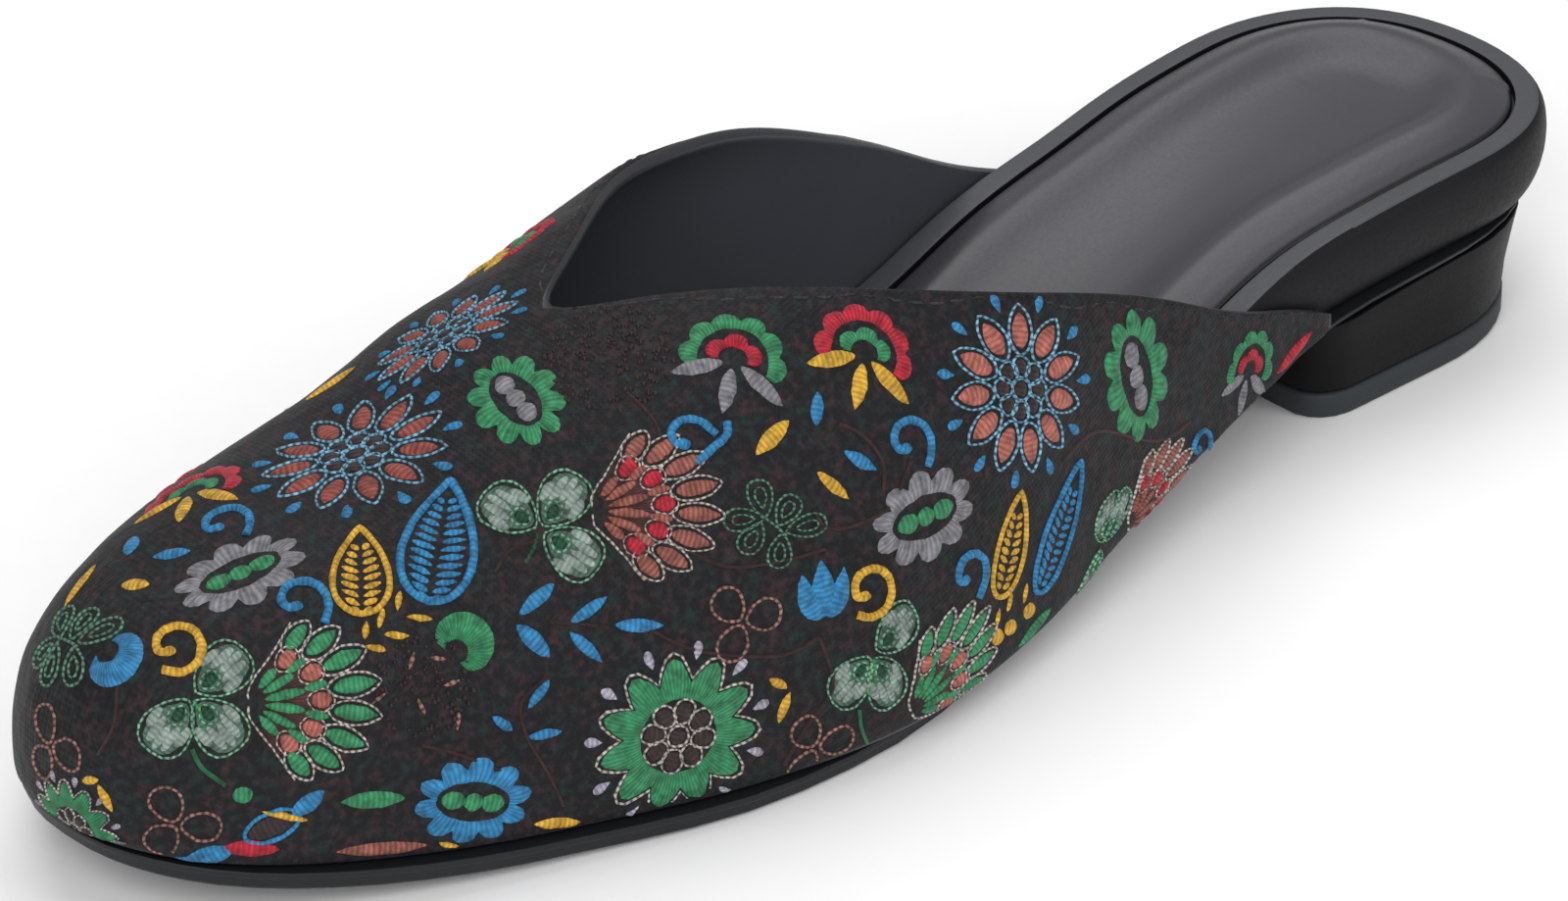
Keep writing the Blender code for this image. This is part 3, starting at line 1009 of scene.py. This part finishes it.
PICTURE_CHART = [Sewn(*row) for row in (
    (1042, 397, 90, rosette, ("salmon", 1.0), 1.05, 1.22),
    (363, 463, 80, rosette, ("rust", 0.9), 1.0, 1.17),
    (454, 341, 116, rosette, ("rust", 0.9), 0.62, 0.98),
    (692, 751, 76, sunflower, (), 1.05, 1.04),
    (66, 876, 60, sunflower, (), 0.64, 0.64),
    (602, 521, 6, lotus, ("rose", "red"), 0.95, 0.95),
    (251, 717, 2, lotus, ("green", "salmon"), 0.94, 1.0),
    (928, 728, 44, lotus, ("green", "salmon"), 1.0, 0.8),
    (1150, 537, 50, lotus, ("rose", "red"), 0.9, 0.74),
    (551, 541, 55, clover, ("fern",)),
    (196, 710, -49, clover, ("green", 91, -78, -20)),
    (891, 667, -66, clover, ("green", 99, -74, -24), 1.0, 0.92),
    (1124, 556, 62, clover, ("green", 50, -150, 190), 1.0, 0.6),
    (748, 367, 80, carnation, ("green", "red", "grey")),
    (882, 361, 82, carnation, ("red", "green", "gold")),
    (195, 502, 60, carnation, ("red", "green", "gold")),
    (523, 253, 35, carnation, ("red", "green", "gold"), 1.0, 0.66),
    (1274, 379, 75, carnation, ("green", "red", "grey"), 0.85, 0.76),
    (526, 406, -50, oval, ("green", "grey"), 1.05, 1.05),
    (945, 527, 24, oval, ("grey", "green"), 1.12, 1.1),
    (245, 584, 24, oval, ("grey", "green"), 1.1, 1.1),
    (483, 818, -3, oval, ("blue", "green"), 1.0, 1.1),
    (1160, 384, -78, oval, ("green", "grey"), 1.2, 1.28),
    (449, 548, 80, paisley, ("blue", 17.4, 9.2, 0.95)),
    (368, 579, 92, paisley, ("gold", 12.8, 7.2, 0.95)),
    (1082, 538, 70, paisley, ("blue", 18.5, 6.6, 0.8)),
    (1032, 556, 80, paisley, ("gold", 14.0, 6.4, 0.8)),
    (232, 532, 10, hook, ("blue",)),
    (311, 612, 0, hook, ("blue",)),
    (706, 444, 0, curl_arrow, ("blue",)),
    (932, 451, 0, hook, ("blue",)),
    (992, 586, 0, hook, ("blue",)),
    (1226, 452, 40, hook, ("blue",), 0.65, 0.65),
    (182, 658, 0, hook, ("gold", True)),
    (891, 602, 0, hook, ("gold", True)),
    (842, 602, 90, tulip, ("blue",)),
    (109, 664, -42, crescent, ("blue",)),
    (465, 666, 50, crescent, ("green",)),
    (52, 762, 20, trefoil, ("bark_chain",)),
    (181, 841, 20, trefoil, ("bark_chain",)),
    (758, 634, 45, trefoil, ("bark_chain",)),
    (833, 762, 40, trefoil, ("bark_chain",)),
    (780, 528, 0, loop_spray, ("moss_chain",), 0.94, 0.8),
    (62, 651, 30, loop_spray, ("moss_chain",)),
    *blades("blue",
            (548, 611, 42, 6.0, 2.1), (545, 654, -45, 6.0, 2.6), (600, 623, 36, 6.0, 1.9),
            (652, 638, 0, 6.6, 2.0), (598, 660, -42, 6.0, 1.8), (550, 708, 54, 4.6, 1.6),
            (513, 738, -35, 3.4, 1.5), (556, 749, 8, 4.6, 1.5), (834, 417, 87, 4.6, 2.0),
            (878, 470, -30, 5.4, 2.0), (175, 565, 10, 5.2, 2.2), (134, 556, 70, 4.2, 2.6)),
    *blades("gold",
            (788, 446, 46, 6.6, 2.5), (850, 495, -40, 5.8, 1.9), (794, 697, -30, 3.2, 1.5),
            (800, 722, 70, 4.4, 1.7), (569, 840, 2, 6.6, 2.2), (92, 796, 10, 2.8, 1.4),
            (107, 814, -62, 4.0, 1.5), (81, 597, 52, 8.0, 1.6), (138, 596, 0, 4.2, 2.6),
            (337, 392, 33, 8.0, 2.8), (407, 612, 82, 2.8, 1.0), (428, 630, -5, 3.4, 1.0),
            (405, 648, -5, 3.2, 1.1), (389, 630, 78, 2.8, 1.0), (373, 643, 85, 2.4, 0.9),
            (384, 661, -12, 2.8, 1.0), (1046, 605, 80, 2.8, 0.9), (1030, 614, 78, 2.8, 0.9),
            (1018, 630, 80, 2.4, 0.9)),
    (1050, 623, 0, pod, ("gold",)),
    (1031, 640, 0, pod, ("gold",)),
    (1018, 650, 0, pod, ("gold",)),
    *blades("green",
            (381, 816, 4, 8.4, 2.7), (1056, 640, 50, 8.0, 2.0)),
    (248, 811, 0, pod, ("green",)),
    (434, 700, 0, speckled, (6.6, "bark_chain")),
    (622, 362, 0, speckled, (8.6,)),
    (262, 855, 14, bug, ("blue", "red", "gold")),
    (390, 866, 4, blade, ("rose", 12.0, 2.4)),
    (458, 862, -12, blade, ("gold", 3.0, 1.1)),
    (1320, 360, 50, blade, ("red", 9.0, 2.2)),
)]

# Figures of the side that the picture hides, by their place along the shoe in mm and their turn round it
FarSewn = namedtuple("FarSewn", "station turn heading figure choices")
FAR_CHART = [FarSewn(*row) for row in (
    (12, 152, 90, rosette, ("salmon", 1.0)),
    (66, 163, 80, sunflower, ()),
    (46, 178, 176, lotus, ("rose", "red")),
    (101, 181, 184, lotus, ("green", "salmon")),
    (51, 186, 10, clover, ()),
    (-18, 188, 60, clover, ()),
    (40, 152, 20, oval, ("blue", "green")),
    (-6, 166, 110, oval, ("green", "grey")),
    (-14, 145, 70, carnation, ("green", "red", "grey")),
    (-34, 170, 100, carnation, ("red", "green", "gold")),
    (86, 157, 80, carnation, ("red", "green", "gold")),
    (3, 185, 100, paisley, ("blue", 15.0, 8.0, 0.95)),
    (14, 184, 84, paisley, ("gold", 12.0, 6.6, 0.95)),
    (28, 157, 60, hook, ("gold", True)),
    (74, 186, 0, hook, ("blue",)),
    (24, 191, 60, crescent, ("green",)),
    (23, 173, 90, tulip, ("blue",)),
    (-45, 178, 30, trefoil, ("bark_chain",)),
    (107, 178, 10, clover, ()),
    (-58, 172, 20, blade, ("red", 7.0, 2.0)),
    (118, 188, 120, blade, ("green", 6.6, 2.2)),
    *blades("blue",
            (-30, 184, 40, 6.0, 2.0), (119, 176, 65, 5.4, 1.9), (52, 139, -30, 6.0, 2.0),
            (-2, 136, 60, 5.4, 2.0)),
    *blades("gold",
            (116, 167, 60, 5.6, 1.9), (30, 137, 20, 5.6, 1.9), (56, 142, 10, 4.6, 1.7)),
)]

# Thin stems, as points of the picture, with their breadth in points too
Vine = namedtuple("Vine", "points thread breadth", defaults=("vine", 4.6))
VINES = (
    Vine(((196, 764), (206, 783), (230, 801)), "green", 6.0),
    Vine(((877, 724), (879, 742), (885, 758)), "green", 4.6),
    Vine(((700, 560), (742, 578), (800, 572), (842, 560))),
    Vine(((560, 690), (532, 716), (538, 752), (560, 790), (575, 822))),
    Vine(((660, 640), (700, 660), (742, 668), (800, 668), (836, 650))),
    Vine(((836, 650), (850, 700), (822, 742), (800, 780))),
    Vine(((505, 585), (520, 562), (548, 552))),
    Vine(((120, 700), (116, 740), (100, 770))),
    Vine(((560, 634), (590, 636), (622, 640))),
    Vine(((856, 432), (880, 444), (900, 470), (902, 500))),
    Vine(((930, 470), (905, 520), (850, 540), (830, 520))),
    Vine(((1085, 470), (1120, 440), (1180, 450), (1215, 430))),
    Vine(((640, 400), (668, 430), (680, 470))),
    Vine(((430, 760), (470, 770), (520, 790))),
)


def embroidery(shell):
    """Sew every figure of the charts on the upper, and its edge seam, one piece for each thread."""
    cloth = outside_tree(shell)
    laid = []
    for work in PICTURE_CHART:
        spot = picture_spot(cloth, work.column, work.row, work.heading)
        laid.append((work, spread(cloth, spot, work.long, work.wide)))
    for work in FAR_CHART:
        spot = far_spot(cloth, work.station, work.turn, work.heading)
        laid.append((work, spread(cloth, spot)))
    for work, lay in laid:
        for stitching in work.figure(*work.choices):
            sew(lay, stitching)
    for vine in VINES:
        line = flowing([(column, -row) for column, row in vine.points])
        sew(picture_lay(cloth), cord(vine.thread, line, vine.breadth, height=VINE_HEIGHT))
    lay, length = edge_lay(cloth, turned_line(shell))
    for i in range(SEAM_ENDS, int(length / SEAM_PITCH) - SEAM_ENDS):
        base = (i * SEAM_PITCH, SEAM_INSET)
        tip = (i * SEAM_PITCH + SEAM_STITCH, SEAM_INSET)
        reach = (lay(*tip, 0.0) - lay(*base, 0.0)).length / MM
        if abs(reach - SEAM_STITCH) <= SEAM_STRAY * SEAM_STITCH:
            sew(lay, leaf("seam", base, tip, SEAM_WIDTH, 0.4, 0.4, height=SEAM_HEIGHT))
    for name, (points, faces, marks) in sewn.items():
        mesh = bpy.data.meshes.new("sewn_" + name)
        mesh.from_pydata(points, [], faces)
        layer = mesh.uv_layers.new(name="stitches")
        for corner, mark in zip(layer.data, marks):
            corner.uv = mark
        mesh.materials.append(thread_material(name, THREADS[name]))
        piece = bpy.data.objects.new("sewn_" + name, mesh)
        bpy.context.scene.collection.objects.link(piece)
        smoothed(piece, THREAD_CREASE)
        placed(piece, "upper_cloth")


# Footbed, insole, sole and heel


def footbed():
    """The wrapped midsole, one grained wrap in two tones: sides painted dark as shaded, and the rim band
    painted lighter as lit from above.
    """
    piece = copy_of("midsole", "footbed", FOOTBED_PAINTED_SHADED_SIDE, FOOTBED_PAINTED_LIT_RIM)
    bevelled(piece, FOOTBED_BEVEL, 2, FOOTBED_SHARP)
    subdivided(piece, 1)
    for polygon in piece.data.polygons:
        # Faces looking up take the rim's painted lit tone, all others the sides' painted shaded tone
        polygon.material_index = 1 if polygon.normal.z > RIM_FACING else 0
    smoothed(piece, FOOTBED_CREASE)
    placed(piece, "footbed_wrap", "midsole")


def insole():
    """The padded sock, swollen in a roll along its edge and dished inside it."""
    piece = copy_of("insole", "insole_sock", SOCK)
    subdivided(piece, 2)
    mesh = piece.data
    rim = [vertex.co.copy() for vertex in mesh.vertices if abs(vertex.normal.z) < SOCK_FACING]
    tree = KDTree(len(rim))
    for i, point in enumerate(rim):
        tree.insert((point.x, point.y, 0.0), i)
    tree.balance()
    insets = mesh.attributes.new("inset", "FLOAT", "POINT").data
    for vertex in mesh.vertices:
        inset = tree.find((vertex.co.x, vertex.co.y, 0.0))[2] / MM
        insets[vertex.index].value = inset
        if vertex.normal.z > SOCK_FACING:
            roll = ROLL_HEIGHT * math.exp(-((inset - ROLL_INSET) / ROLL_SPREAD) ** 2)
            dish = DISH_DEPTH * min(max((inset - ROLL_INSET) / (DISH_INSET - ROLL_INSET), 0.0), 1.0)
            vertex.co.z += (roll * min(inset / ROLL_START, 1.0) - dish) * MM
    smoothed(piece)
    placed(piece, "insole_leather", "insole")


def plain_solid(node_name, name, materials, slot, bevel):
    """A moulded piece: its solid with softened edges, and a second finish on its tread."""
    piece = copy_of(node_name, name, *materials)
    bevelled(piece, bevel, 3, MOULDED_SHARP)
    for polygon in piece.data.polygons:
        polygon.material_index = 1 if polygon.normal.z < -TREAD_FACING and len(materials) > 1 else 0
    smoothed(piece, MOULDED_CREASE)
    placed(piece, slot, node_name)


# Studio


def studio():
    """A white paper floor under soft boxes."""
    bpy.ops.object.select_all(action="DESELECT")
    bpy.ops.mesh.primitive_plane_add(size=6.0)
    floor = bpy.context.object
    floor.name = "floor"
    floor.data.materials.append(floor_material())
    world = bpy.data.worlds.new("studio")
    world.use_nodes = True
    background = world.node_tree.nodes["Background"]
    background.inputs["Color"].default_value = linear("#ffffff")
    background.inputs["Strength"].default_value = 0.38
    bpy.context.scene.world = world
    bpy.context.scene.view_settings.view_transform = "Standard"
    for name, place, size, power in (
            ("overhead_box", (-0.25, -0.35, 1.0), 1.0, 6.0),
            ("front_box", (0.8, 0.7, 0.8), 0.9, 10.0),
            ("side_box", (-0.4, 0.9, 0.6), 0.5, 2.0)):
        facing = (-Vector(place)).to_track_quat("-Z", "Y").to_euler()
        bpy.ops.object.light_add(type="AREA", location=place, rotation=facing)
        lamp = bpy.context.object
        lamp.name = name
        lamp.data.size = size
        lamp.data.energy = power


set_camera()
BROCADE = brocade_material()
# Smooth polyurethane lining, calendered: an even dark sheen with hardly any grain
LINING = hide_material("lining_coated", "#43464c", 0.5, 0.9, 0.015, 20.0, 0.3)
# The same coated cloth turned over the edge and pressed, so a little shinier
EDGE = hide_material("edge_turned", "#2a2b2f", 0.44, 0.8, 0.03, 9.0, 0.45)
SOCK = sock_material()
# Grained coated leather of the footbed's wrap, one material in two tones: the flat rim painted lighter as lit
# from above, the sides painted near black as shaded
FOOTBED_PAINTED_LIT_RIM = hide_material("wrap_painted_lit_rim", "#46474b", 0.5, 0.9, 0.05, 12.0, 0.3)
FOOTBED_PAINTED_SHADED_SIDE = hide_material("wrap_painted_shaded_side", "#121215", 0.55, 0.9, 0.03, 14.0, 0.18)
# Moulded rubber of the sole: matte, with a faint bloom, and greyer under its ribs
SOLE = hide_material("sole_rubber", "#17191b", 0.45, 0.6, 0.02, 15.0, 0.32)
SOLE_TREAD = tread_material("sole_tread", "#2a2c30", 3.0)
# Moulded plastic block with a fine spark-eroded texture, near black
HEEL = hide_material("heel_plastic", "#090a0c", 0.5, 0.5, 0.012, 22.0, 0.14)
# Hard rubber of the heel's top piece: greyer than the block, and dull
TIP = hide_material("tip_rubber", "#303437", 0.6, 0.6, 0.03, 12.0, 0.3)
TIP_TREAD = tread_material("tip_tread", "#303437", 2.2)

sewn = {name: ([], [], []) for name in THREADS}
shell = upper()
embroidery(shell)
footbed()
insole()
plain_solid("outsole", "sole", (SOLE, SOLE_TREAD), "sole_rubber", 0.25)
plain_solid("heel", "heel_block", (HEEL,), "heel_plastic", 0.6)
plain_solid("heel_tip", "heel_top_piece", (TIP, TIP_TREAD), "tip_rubber", 0.35)
studio()
